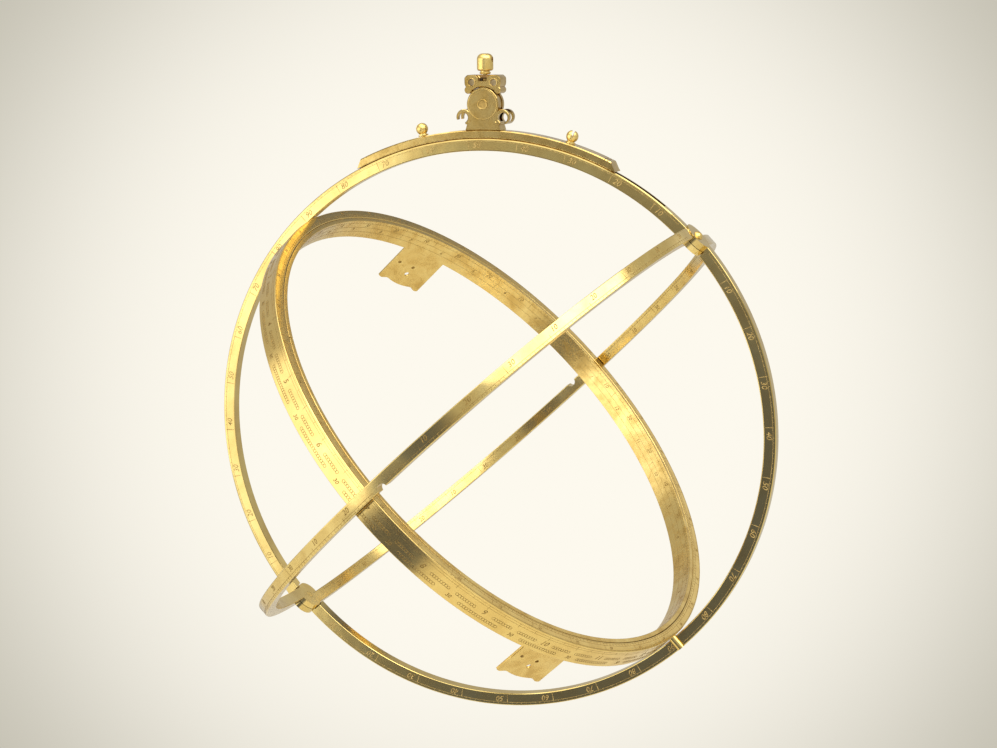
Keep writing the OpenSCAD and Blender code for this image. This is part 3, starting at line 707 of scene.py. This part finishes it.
def shoe_leaf():
    """Thin brass leaf under the shoe, on the meridian's edge, with a hole for each clamp screw."""
    leaf = spun(LEAF_INNER, LEAF_OUTER, LEAF_BACK, RING_FRONT, LEAF_ROUNDING, angle=LEAF_ARC,
                start=LEAF_START, steps=2 * LEAF_ARC)
    apply_place(leaf, OVER_NORTH)
    for angle in CLAMP_ANGLES:
        hole = rod(LEAF_INNER - PAST, LEAF_OUTER + PAST, CLAMP_BORE, "Z", 32)
        apply_place(hole, rotation(angle, "Y") @ Matrix.Translation((0, SLIDE_MIDDLE, 0)))
        cut(leaf, hole)
    apply_place(leaf, MM @ RING_FRAME)
    finish(leaf, "shoe_leaf", "hanger", filed_gilt)


def suspension_bracket():
    """Bracket with a narrow chamfer round its outer faces."""
    softened("suspension_bracket", "hanger", filed_gilt, "fitting_brass", BRACKET_CHAMFER,
             spared=lambda co: abs(co.y) < INSIDE_FACES)


def shackle():
    """Shackle with a chamfer round its outer faces, and old dirt with painted shade that darkens its strap
    and hollow.
    """
    softened("shackle", "shackle_body", filed_gilt, "fitting_brass", SHACKLE_CHAMFER,
             spared=lambda co: abs(co.y) < INSIDE_FACES or abs(co.x) < STRAP_HALF and co.z > -STRAP_DROP)
    piece = bpy.data.objects["shackle_worked"]
    piece.data.materials.append(hollow_dirt_and_painted_shade)
    # Faces in the recess between the eyes get the darker brown: dirt, and painted shade where the recess lies
    # in shadow
    for face in piece.data.polygons:
        middle = face.center * 1000
        between_eyes = abs(middle.x) < HOLLOW_HALF_WIDTH and abs(middle.y) < HOLLOW_HALF_DEPTH
        if between_eyes and middle.z > -HOLLOW_DROP:
            face.material_index = 1


def swivel_knob():
    """Turned finger knob: a barrel with a domed top, a neck with a bead and a stem, drilled across."""
    barrel = rod(KNOB_FOOT, KNOB_TOP, KNOB_R, "Z", 64)
    round_over(barrel, lambda co: co.z > KNOB_TOP - TOGETHER, KNOB_DOME, segments=10)
    round_over(barrel, lambda co: co.z < KNOB_FOOT + TOGETHER, KNOB_ROUND, segments=4)
    neck = rod(NECK_FOOT, NECK_TOP, NECK_R, "Z", 64)
    bead = spun(BEAD_INNER, BEAD_R, BEAD_FOOT, BEAD_TOP, BEAD_ROUND, steps=64)
    stem = rod(STEM_FOOT, STEM_TOP, STEM_R, "Z", 48)
    weld(barrel, neck, bead, stem)
    cut(barrel, rod(-KNOB_R - PAST, KNOB_R + PAST, KNOB_HOLE, "X", 48))
    apply_modifier(barrel, "BEVEL", width=EASED, segments=2, limit_method="ANGLE",
                   angle_limit=math.radians(50))
    apply_place(barrel, MM)
    finish(barrel, "swivel_knob_worked", "knob", turned_gilt, ["swivel_knob"])


def stem_rivet():
    """Spread end of the knob's stem under its collar, domed by the hammer."""
    rivet = rod(STEM_RIVET_FOOT, STEM_RIVET_TOP, STEM_RIVET_R, "Z", 48)
    round_over(rivet, lambda co: co.z < STEM_RIVET_FOOT + TOGETHER, STEM_RIVET_DOME, segments=4)
    apply_place(rivet, MM)
    finish(rivet, "stem_rivet", "knob", pin_brass)


def face_rims(name, body, rims):
    """Raised rims on the front and back faces of a fitting, from (centre, inner, outer, proud) rows."""
    made = []
    for centre, inner, outer, proud in rims:
        for side in (-1, 1):
            rounding = min(proud, (outer - inner) / 2) * RIM_ROUNDING_SHARE
            rim = spun(inner, outer, -RIM_SUNK, proud, rounding, steps=64)
            face = Matrix.Translation(centre + Vector((0, side * CHEEK_FACE, 0)))
            apply_place(rim, face @ rotation(-90 * side, "X"))
            made.append(rim)
    piece = joined(made)
    apply_place(piece, MM)
    finish(piece, name, body, filed_gilt)


slider_shoe()
suspension_bracket()
shackle()
softened("upper_sight_vane", "sights", sight_gilt, "fitting_brass", EASED)
softened("lower_sight_vane", "sights", sight_gilt, "fitting_brass", EASED)
softened("left_clamp_screw", "left_clamp", turned_gilt, "turned_brass", EASED)
softened("right_clamp_screw", "right_clamp", turned_gilt, "turned_brass", EASED)
shoe_leaf()
swivel_knob()
stem_rivet()
face_rims("eye_rims", "shackle_body", [(Vector((x, 0, -EYE_DROP)), *EYE_RIM) for x in (-EYE_HALF, EYE_HALF)])
face_rims("cheek_rims", "hanger", [(TILT_PIN, *CHEEK_RIM), (TILT_PIN, *PIN_RIM)])

# Pieces of the solids that keep their shape
for names, material in ((("upper_hinge_pin", "lower_hinge_pin"), turned_gilt),
                        (("north_pole_pin", "south_pole_pin"), polished_gilt),
                        (("upper_vane_rivets", "lower_vane_rivets"), rivet_brown),
                        (("swivel_collar", "tilt_pin", "left_slide_key", "right_slide_key"), pin_brass)):
    for name in names:
        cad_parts[name].data.materials.clear()
        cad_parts[name].data.materials.append(material)


# Engraving
# A mark is a thin form that stands a hair proud of the metal and is sunk a little way into it
MARK_PROUD = 0.02
MARK_SUNK = 0.06
NUMERAL_SUNK = 0.05
# Half widths of the scribed lines: in the bands of the hour and sight rings, on the hour ring's face, and
# on the meridian and the equator
FINE_LINE = 0.04
CIRCLE = 0.05
LINE = 0.06
# Chains of small rings on the hour ring: radius and half width of a link, and the step between links
LINK_R = 0.55
LINK_LINE = 0.07
LINK_STEP = 0.58
# Share of a stroke's width that is left at its tip
STROKE_TIP = 0.45
# Height of a figure, as a share of the size of the type, and how much its lines are thickened and leaned
FIGURE_SHARE = 0.69
FIGURE_THICKENING = 0.008
FIGURE_LEAN = 0.25


def skin(surface, outward=True):
    """Span of a mark on a surface that faces up or outwards, or else inwards."""
    if outward:
        return surface - MARK_SUNK, surface + MARK_PROUD
    return surface - MARK_PROUD, surface + MARK_SUNK


def around(middle, half):
    """Span round a middle."""
    return middle - half, middle + half


def polar(angle):
    """Unit vector at an angle from X towards Y, in degrees."""
    return Vector((math.cos(math.radians(angle)), math.sin(math.radians(angle)), 0))


def anticlockwise(out):
    """Direction round Z at a unit vector."""
    return Vector((-out.y, out.x, 0))


def copies_round(piece, step, count):
    """Copies a mark round Z at a step in degrees, inside its own mesh."""
    if count == 1:
        return
    with editing(piece):
        bpy.ops.mesh.select_all(action="SELECT")
        bpy.ops.mesh.spin(steps=count - 1, dupli=True, angle=math.radians(step * (count - 1)),
                          center=(0, 0, 0), axis=SPIN_AXIS, use_auto_merge=False)


def strokes(radial, axial, width, start, step=1, count=1):
    """Row of graver strokes round Z, each a slim bar that narrows to the end where the graver came out.

    radial and axial are the two ends of a stroke's section. The first of the longer pair is the thick end.
    """
    bar = block((min(radial), -width / 2, min(axial)), (max(radial), width / 2, max(axial)))
    along = 0 if abs(radial[1] - radial[0]) > abs(axial[1] - axial[0]) else 2
    tip = radial[1] if along == 0 else axial[1]
    narrow(bar, lambda co: abs(co[along] - tip) < TOGETHER, (1, STROKE_TIP, 1), (0, 0, 0))
    apply_place(bar, rotation(start, "Z"))
    copies_round(bar, step, count)
    return bar


def ring_chain(height, start, count):
    """Chain of small rings round the outside of the hour ring, each overlapping the next, of few faces."""
    inner, outer = around(LINK_R, LINK_LINE)
    link = spun(inner, outer, -MARK_SUNK, MARK_PROUD, steps=12)
    apply_place(link, Matrix.Translation((HOUR_R, 0, height)) @ AXIS_TO_X)
    apply_place(link, rotation(start, "Z"))
    copies_round(link, LINK_STEP, count)
    return link


def scribed(radial, axial, angle=360.0, start=0.0, steps=240):
    """Scribed line round Z."""
    return spun(radial[0], radial[1], axial[0], axial[1], angle=angle, start=start, steps=steps)


def numeral(label, height, place, across, up):
    """Plain number cut at a place, with the directions of its line of writing and of its top."""
    deselect()
    bpy.ops.object.text_add()
    text = bpy.context.object
    text.data.body = label
    text.data.size = height / FIGURE_SHARE
    text.data.align_x = "CENTER"
    text.data.align_y = "CENTER"
    text.data.resolution_u = 2
    text.data.shear = FIGURE_LEAN
    text.data.extrude = NUMERAL_SUNK
    text.data.offset = FIGURE_THICKENING * height
    bpy.ops.object.convert(target="MESH")
    piece = bpy.context.object
    out = across.cross(up)
    origin = place + out * (MARK_PROUD - NUMERAL_SUNK)
    turn = Matrix((across, up, out)).transposed().to_4x4()
    apply_place(piece, Matrix.Translation(origin) @ turn)
    return piece


def engrave(name, body, matrix, marks, material=engraved):
    """Joins the marks of one ring into a piece, and sets it on the ring's body."""
    piece = joined(marks)
    apply_place(piece, matrix)
    bpy.ops.object.shade_flat()
    dress(piece, name, body, material)


def meridian_scale():
    """Degrees from each hinge to the poles, on the front faces of the meridian."""
    first, arc = 4, 172
    degree_top, line = 99.34, 98.92
    ten_top, ten_foot = 98.9, 96.2
    degree_width, ten_width = 0.14, 0.26
    number_middle, number_height, number_lag = 97.55, 1.9, 1.55
    marks = []
    for surface, base in ((RING_FRONT, 0), (-HALF_GAP, 180)):
        face = skin(surface)
        marks.append(scribed(around(line, LINE), face, arc, base + first, steps=arc))
        marks.append(strokes((degree_top, line), face, degree_width, base + first, count=arc + 1))
        for ten in range(10, 180, 10):
            marks.append(strokes((ten_top, ten_foot), face, ten_width, base + ten))
            out = polar(base + ten - number_lag)
            place = out * number_middle + UP * surface
            label = str(ten if ten <= 90 else 180 - ten)
            marks.append(numeral(label, number_height, place, -anticlockwise(out), out))
    # The meridian's marks are lighter: cleaner brass with a painted highlight
    engrave("meridian_scale", "meridian", DIAL @ OVER_NORTH, marks, clean_cut_painted_highlight)


def equator_scale():
    """Degrees outside the equator's near half and inside its far half, numbered in tens."""
    arc = 82
    degree_foot, line, ten_top, thirty_top = 0.5, 1.24, 2.1, 3.95
    degree_width, ten_width = 0.14, 0.18
    number_middle, number_height, number_lead = 2.75, 1.7, 1.5
    marks = []
    for side, base, radius in ((1, 180, RING_R), (-1, 0, RING_INNER)):
        face = skin(radius, outward=side > 0)
        # The divisions stop short of the notch in the middle of each half
        for first in (6, 92):
            marks.append(scribed(face, around(side * line, LINE), arc, base + first, steps=arc))
            span = (side * degree_foot, side * line)
            marks.append(strokes(face, span, degree_width, base + first, count=arc + 1))
        for ten in list(range(10, 90, 10)) + list(range(100, 180, 10)):
            top = ten_top if ten % 30 else thirty_top
            marks.append(strokes(face, (side * line, side * top), ten_width, base + ten))
            out = polar(base + ten + side * number_lead)
            place = out * radius + UP * (side * number_middle)
            label = str(ten % 30 or 30)
            marks.append(numeral(label, number_height, place, anticlockwise(out) * side, UP))
    engrave("equator_scale", "equator", DIAL, marks)


def hour_scale():
    """Degrees on the front face of the hour ring, between scribed circles."""
    inner_circle, middle_circle, outer_circle = 92.15, 92.95, 94.65
    degree_top, ten_top = 92.9, 94.6
    degree_width, ten_width = 0.13, 0.15
    number_middle, number_height, number_lead = 93.8, 1.05, 2
    face = skin(HOUR_HALF)
    marks = [scribed(around(radius, CIRCLE), face) for radius in (inner_circle, middle_circle, outer_circle)]
    marks.append(strokes((inner_circle, degree_top), face, degree_width, start=0, count=360))
    for ten in range(0, 360, 10):
        marks.append(strokes((middle_circle, ten_top), face, ten_width, ten))
        out = polar(ten + number_lead)
        place = out * number_middle + UP * HOUR_HALF
        marks.append(numeral(str(ten % 90 or 90), number_height, place, -anticlockwise(out), out))
    engrave("hour_scale", "hours", HOUR @ AXIS_TO_X, marks)


def hour_numbers():
    """Hours from 1 to 12, twice round the outside of the hour ring, with quarters and chains between them."""
    quarter_top, quarter_foot, half_foot = 3.5, 2.6, 1.7
    quarter_width, half_width = 0.12, 0.14
    face = skin(HOUR_R)
    marks = [scribed(face, around(height, FINE_LINE)) for height in (quarter_top, quarter_foot)]
    marks.append(strokes(face, (quarter_top, quarter_foot), quarter_width, start=0, step=3.75, count=96))
    marks.append(strokes(face, (quarter_foot, half_foot), half_width, start=0, step=7.5, count=48))
    # Two chains between the hours, and one between the half hours below them: height, first angle and links
    chains = ((0.1, 2.4, 8), (0.1, 8.6, 8), (-2.3, -4.8, 16))
    for hour in range(24):
        turn = hour * 15
        for height, first, links in chains:
            marks.append(ring_chain(height, turn + first, links))
        # Each number with its height on the ring, its own height and its angle from the hour
        hours = (str(hour % 12 + 1), 0.2, 2.0, 0)
        half_hours = ("30", -2.2, 1.4, 7.5)
        for label, height, size, shift in (hours, half_hours):
            out = polar(turn + shift)
            marks.append(numeral(label, size, out * HOUR_R + UP * height, anticlockwise(out), UP))
    engrave("hour_numbers", "hours", HOUR @ AXIS_TO_X, marks)


def sight_scale():
    """Calendar of numbered divisions round the inside of the sight ring, in three bands."""
    degree_top, upper_line, middle_line, lower_line = 3.7, 3.1, 0.9, -1.3
    degree_width, month_width = 0.11, 0.14
    face = skin(SIGHT_INNER, outward=False)
    marks = [scribed(face, around(height, FINE_LINE)) for height in (upper_line, middle_line, lower_line)]
    marks.append(strokes(face, (degree_top, upper_line), degree_width, start=0, count=360))
    marks.append(strokes(face, (upper_line, middle_line), month_width, start=0, step=30, count=12))
    marks.append(strokes(face, (middle_line, lower_line), month_width, start=10, step=30, count=12))
    for ten in range(0, 360, 10):
        # Each number with its height on the ring, its own height and its angle from the ten
        days = (str(ten % 30 + 10), 2.0, 1.5, 3.0)
        months = (str(ten // 10 % 12 + 1), -0.2, 1.3, 7.0)
        for label, height, size, shift in (days, months):
            out = polar(ten + shift)
            marks.append(numeral(label, size, out * SIGHT_INNER + UP * height, -anticlockwise(out), UP))
    engrave("sight_scale", "sights", SIGHT @ AXIS_TO_X, marks)


meridian_scale()
equator_scale()
hour_scale()
hour_numbers()
sight_scale()


# Studio
# Camera at the photograph's viewing angle, fitted to the edges of the rings, in degrees and metres
CAMERA_AZIMUTH = 18.87
CAMERA_ELEVATION = 9.676
CAMERA_ROLL = -0.621
CAMERA_DISTANCE = 0.71368
CAMERA_RIGHT = 0.003001
CAMERA_UP = 0.018504
CAMERA_LENS = 74.395
# Dark places in the room, as rows of azimuth, elevation, radius of the core and of the edge, and level
DARK_PLACES = ((-25, -34, 11, 17, 0.17),
               (-14, -17, 6, 17, 0.22),
               (-4, 4, 10, 15, 0.36),
               (170, 33, 7, 12, 0.4))
# Paler part of the far wall, which lights the face of the hour ring, as a row of the same kind
PALE_PLACE = (153, 22, 4, 9, 1.45)
FLOOR_R = 0.75
FLOOR_CENTRE = (-0.05, 0.22, -0.63)
FLOOR_RIM = 0.02


def direction(azimuth, elevation):
    """Unit vector at an azimuth from -Y towards +X, and an elevation, in degrees."""
    a = math.radians(azimuth)
    e = math.radians(elevation)
    return Vector((math.sin(a) * math.cos(e), -math.cos(a) * math.cos(e), math.sin(e)))


def soft_box(name, azimuth, elevation, distance, width, height, power, roll=0.0):
    """Soft rectangular light that faces the rings."""
    light = bpy.data.lights.new(name, "AREA")
    light.shape = "RECTANGLE"
    light.size = width
    light.size_y = height
    light.energy = power
    light.color = linear("#FFFDF6")[:3]
    holder = bpy.data.objects.new(name, light)
    bpy.context.scene.collection.objects.link(holder)
    towards = direction(azimuth, elevation)
    holder.location = RING_CENTRE + towards * distance
    turn = towards.to_track_quat("Z", "Y").to_matrix() @ rotation(roll, "Z").to_3x3()
    holder.rotation_euler = turn.to_euler()


def floor():
    """Round pale floor of matt card well below the rings, with a turned-down rim."""
    deselect()
    bpy.ops.mesh.primitive_circle_add(vertices=128, radius=FLOOR_R, fill_type="NGON", location=FLOOR_CENTRE)
    piece = bpy.context.object
    with editing(piece):
        bpy.ops.mesh.extrude_region_move(TRANSFORM_OT_translate={"value": (0, 0, -FLOOR_RIM)})
    face_outwards(piece)
    apply_place(piece)
    piece.name = "floor"
    material = bpy.data.materials.new("matt_card")
    material.use_nodes = True
    tree = material.node_tree
    shader = tree.nodes["Principled BSDF"]
    shader.inputs["Roughness"].default_value = 0.9
    place = node(tree, "ShaderNodeTexCoord")
    # The fibres of the card are drawn about 3 mm apart, much coarser than they are, so that they show
    fibre = node(tree, "ShaderNodeTexNoise", None, {"Scale": per_mm(0.3), "Detail": 3.0},
                 {"Vector": (place, "Object")})
    tone = node(tree, "ShaderNodeValToRGB", None, None, {"Fac": (fibre, "Fac")})
    colour_stops(tone, [(0.3, "#DAD6CB"), (0.7, "#E0DCD2")])
    tree.links.new(tone.outputs["Color"], shader.inputs["Base Color"])
    piece.data.materials.append(material)


def round_patch(tree, place, toward, core, edge, level, kind="SMOOTHSTEP", outside=1.0):
    """Round patch of the surroundings: one level in its core, and another outside its edge, in degrees."""
    nearness = node(tree, "ShaderNodeVectorMath", {"operation": "DOT_PRODUCT"}, {1: toward},
                    {0: (place, "Generated")})
    return node(tree, "ShaderNodeMapRange", {"interpolation_type": kind},
                {"From Min": math.cos(math.radians(edge)), "From Max": math.cos(math.radians(core)),
                 "To Min": outside, "To Max": level}, {"Value": (nearness, "Value")})


def studio():
    """Pale surroundings, brighter below than behind, with the dark end of the room on the camera's side."""
    world = bpy.data.worlds.new("studio")
    world.use_nodes = True
    tree = world.node_tree
    tree.nodes.clear()
    place = node(tree, "ShaderNodeTexCoord")
    along = node(tree, "ShaderNodeSeparateXYZ", None, None, {"Vector": (place, "Generated")})
    below = node(tree, "ShaderNodeMapRange", None,
                 {"From Min": -0.6, "From Max": 0.5, "To Min": 1.08, "To Max": 0.62},
                 {"Value": (along, "Y")})
    level = node(tree, "ShaderNodeMapRange", {"interpolation_type": "SMOOTHSTEP"},
                 {"From Min": -0.35, "From Max": 0.08, "To Max": 0.58},
                 {"Value": (along, "Z"), "To Min": (below, "Result")})
    darkest = None
    for azimuth, elevation, core, edge, dark in DARK_PLACES:
        shade = round_patch(tree, place, direction(azimuth, elevation), core, edge, dark, "LINEAR")
        if darkest:
            shade = node(tree, "ShaderNodeMath", {"operation": "MINIMUM"}, None,
                         {0: (darkest, 0), 1: (shade, 0)})
        darkest = shade
    azimuth, elevation, core, edge, bright = PALE_PLACE
    pale = round_patch(tree, place, direction(azimuth, elevation), core, edge, bright)
    for factor in (darkest, pale):
        level = node(tree, "ShaderNodeMath", {"operation": "MULTIPLY"}, None,
                     {0: (level, 0), 1: (factor, 0)})
    # The dark places are a little bluer than the pale ones
    pallor = node(tree, "ShaderNodeMapRange", None, {"From Min": 0.2, "From Max": 0.5},
                  {"Value": (level, 0)})
    tint = node(tree, "ShaderNodeMix", {"data_type": "RGBA"},
                {"A": linear("#CFD8FF"), "B": linear("#FFFBF4")}, {"Factor": (pallor, "Result")})
    room = node(tree, "ShaderNodeBackground", None, None,
                {"Color": (tint, "Result"), "Strength": (level, 0)})
    # The backdrop is a little brighter behind the dial than round it
    behind = -direction(CAMERA_AZIMUTH, CAMERA_ELEVATION)
    glow = round_patch(tree, place, behind, core=6, edge=18, level=1.0, outside=0.0)
    sheet = node(tree, "ShaderNodeMix", {"data_type": "RGBA"},
                 {"A": linear("#C4C0B2"), "B": linear("#FDF9EE")}, {"Factor": (glow, "Result")})
    backdrop = node(tree, "ShaderNodeBackground", None, {"Strength": 1.0}, {"Color": (sheet, "Result")})
    path = node(tree, "ShaderNodeLightPath")
    mixed = node(tree, "ShaderNodeMixShader", None, None,
                 {0: (path, "Is Camera Ray"), 1: (room, "Background"), 2: (backdrop, "Background")})
    node(tree, "ShaderNodeOutputWorld", None, None, {"Surface": (mixed, "Shader")})
    bpy.context.scene.world = world


def camera():
    """Camera that looks at the rings, a little to one side of their centre."""
    lens = bpy.data.cameras.new("camera")
    lens.sensor_width = 36.0
    lens.lens = CAMERA_LENS
    lens.clip_start = 0.01
    holder = bpy.data.objects.new("camera", lens)
    bpy.context.scene.collection.objects.link(holder)
    back = direction(CAMERA_AZIMUTH, CAMERA_ELEVATION)
    right = polar(CAMERA_AZIMUTH)
    up = back.cross(right)
    eye = RING_CENTRE + back * CAMERA_DISTANCE + right * CAMERA_RIGHT + up * CAMERA_UP
    roll = math.radians(CAMERA_ROLL)
    across = right * math.cos(roll) + up * math.sin(roll)
    upward = up * math.cos(roll) - right * math.sin(roll)
    turn = Matrix((across, upward, back)).transposed().to_4x4()
    holder.matrix_world = Matrix.Translation(eye) @ turn
    bpy.context.scene.camera = holder


floor()
studio()
camera()
soft_box("left_soft_box", azimuth=-54.8, elevation=0.6, distance=1.5, width=1.85, height=0.95, power=6.0,
         roll=-12)
soft_box("near_soft_box", azimuth=-37.5, elevation=6.2, distance=1.45, width=0.84, height=0.6, power=0.95,
         roll=-12)
soft_box("upper_soft_box", azimuth=-24, elevation=26, distance=1.5, width=1.1, height=0.5, power=1.8)
soft_box("right_soft_box", azimuth=53, elevation=53, distance=1.5, width=2.0, height=1.25, power=21)
soft_box("top_soft_box", azimuth=-30, elevation=72, distance=1.5, width=1.6, height=1.3, power=13)
bpy.context.scene.view_settings.view_transform = "Standard"
